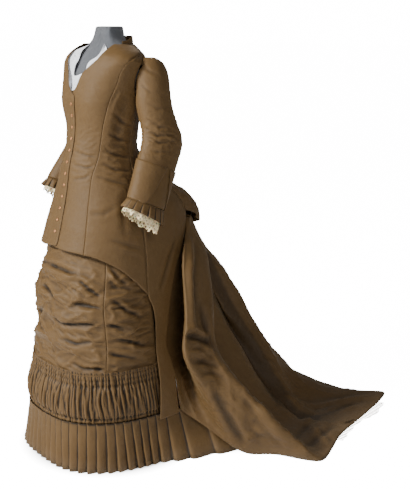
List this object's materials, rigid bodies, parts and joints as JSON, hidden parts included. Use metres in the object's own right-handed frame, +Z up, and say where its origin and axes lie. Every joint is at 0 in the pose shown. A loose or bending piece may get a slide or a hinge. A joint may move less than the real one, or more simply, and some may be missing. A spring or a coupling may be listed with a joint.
{
  "type": "travelling dress on a limbless dress form",
  "caption": "Trained bustle-era travelling dress with a long buttoned bodice, draped underskirt, shirred and pleated flounces, on a stand.",
  "frame": {"origin": "on the floor under the form's pole, the middle of the stand base's underside", "axes": "+Z up; -Y is the dress's front; +X is the wearer's left; the train lies towards +Y"},
  "size_m": [1.0658, 1.3154, 1.428],
  "materials": {
    "bodice_back_left": "brown silk faille, soft satin sheen",
    "bodice_back_right": "brown silk faille, soft satin sheen",
    "bodice_front_left": "brown silk faille, soft satin sheen",
    "bodice_front_right": "brown silk faille, soft satin sheen",
    "bodice_side_back_left": "brown silk faille, soft satin sheen",
    "bodice_side_back_right": "brown silk faille, soft satin sheen",
    "bodice_side_front_left": "brown silk faille, soft satin sheen",
    "bodice_side_front_right": "brown silk faille, soft satin sheen",
    "bustle_puff": "brown silk faille, soft satin sheen",
    "button_01": "copper-coloured, half polished",
    "button_02": "copper-coloured, half polished",
    "button_03": "copper-coloured, half polished",
    "button_04": "copper-coloured, half polished",
    "button_05": "copper-coloured, half polished",
    "button_06": "copper-coloured, half polished",
    "button_07": "copper-coloured, half polished",
    "button_08": "copper-coloured, half polished",
    "button_09": "copper-coloured, half polished",
    "button_10": "copper-coloured, half polished",
    "button_11": "copper-coloured, half polished",
    "button_12": "copper-coloured, half polished",
    "collar": "brown silk faille, soft satin sheen",
    "cuff_lace_left": "cream cotton lace",
    "cuff_lace_right": "cream cotton lace",
    "cuff_left": "brown silk faille, soft satin sheen",
    "cuff_right": "brown silk faille, soft satin sheen",
    "cuff_ruffle_left": "brown silk faille, soft satin sheen",
    "cuff_ruffle_right": "brown silk faille, soft satin sheen",
    "form_torso": "grey knit jersey",
    "gathered_flounce_left": "brown silk faille, soft satin sheen",
    "gathered_flounce_right": "brown silk faille, soft satin sheen",
    "hem_flounce_left": "brown silk faille, soft satin sheen",
    "hem_flounce_right": "brown silk faille, soft satin sheen",
    "neck_fill": "white crinkled cotton",
    "skirt_front": "brown silk faille, soft satin sheen",
    "skirt_side_left": "brown silk faille, soft satin sheen",
    "skirt_side_right": "brown silk faille, soft satin sheen",
    "sleeve_under_left": "brown silk faille, soft satin sheen",
    "sleeve_under_right": "brown silk faille, soft satin sheen",
    "sleeve_upper_left": "brown silk faille, soft satin sheen",
    "sleeve_upper_right": "brown silk faille, soft satin sheen",
    "stand_base": "dark satin paint",
    "stand_pole": "dark satin paint",
    "train_lace": "cream cotton lace",
    "train_left": "brown silk faille, soft satin sheen",
    "train_right": "brown silk faille, soft satin sheen"
  },
  "bodies": {
    "root": {"bodice_back_left": "bodice_back_left", "bodice_back_right": "bodice_back_right", "bodice_front_left": "bodice_front_left", "bodice_front_right": "bodice_front_right", "bodice_side_back_left": "bodice_side_back_left", "bodice_side_back_right": "bodice_side_back_right", "bodice_side_front_left": "bodice_side_front_left", "bodice_side_front_right": "bodice_side_front_right", "bustle_puff": "bustle_puff", "button_01": "button_01", "button_02": "button_02", "button_03": "button_03", "button_04": "button_04", "button_05": "button_05", "button_06": "button_06", "button_07": "button_07", "button_08": "button_08", "button_09": "button_09", "button_10": "button_10", "button_11": "button_11", "button_12": "button_12", "collar": "collar", "cuff_lace_left": "cuff_lace_left", "cuff_lace_right": "cuff_lace_right", "cuff_left": "cuff_left", "cuff_right": "cuff_right", "cuff_ruffle_left": "cuff_ruffle_left", "cuff_ruffle_right": "cuff_ruffle_right", "form_torso": "form_torso", "gathered_flounce_left": "gathered_flounce_left", "gathered_flounce_right": "gathered_flounce_right", "hem_flounce_left": "hem_flounce_left", "hem_flounce_right": "hem_flounce_right", "neck_fill": "neck_fill", "skirt_front": "skirt_front", "skirt_side_left": "skirt_side_left", "skirt_side_right": "skirt_side_right", "sleeve_under_left": "sleeve_under_left", "sleeve_under_right": "sleeve_under_right", "sleeve_upper_left": "sleeve_upper_left", "sleeve_upper_right": "sleeve_upper_right", "stand_base": "stand_base", "stand_pole": "stand_pole", "train_lace": "train_lace", "train_left": "train_left", "train_right": "train_right"}
  },
  "joints": []
}
